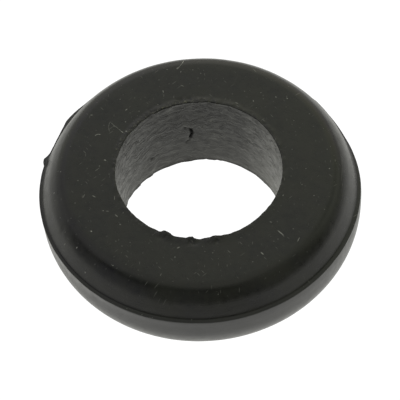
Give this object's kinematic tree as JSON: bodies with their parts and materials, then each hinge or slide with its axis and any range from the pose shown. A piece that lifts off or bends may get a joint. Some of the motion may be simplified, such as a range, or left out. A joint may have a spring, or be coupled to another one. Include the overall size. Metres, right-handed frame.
{
  "type": "rubber washer",
  "caption": "Thick black rubber washer with a rounded upper shoulder, a sharp moulding line, an upright wall and a straight central bore.",
  "frame": {"origin": "centre of the lower face, on the bore's axis", "axes": "+Z along the bore axis, towards the face with the rounded shoulder"},
  "size_m": [0.032, 0.032, 0.01],
  "materials": {
    "rubber": "satin moulded black rubber, dusty on the upper face, matt where the bore was cut"
  },
  "bodies": {
    "root": {"washer": "rubber"}
  },
  "joints": []
}
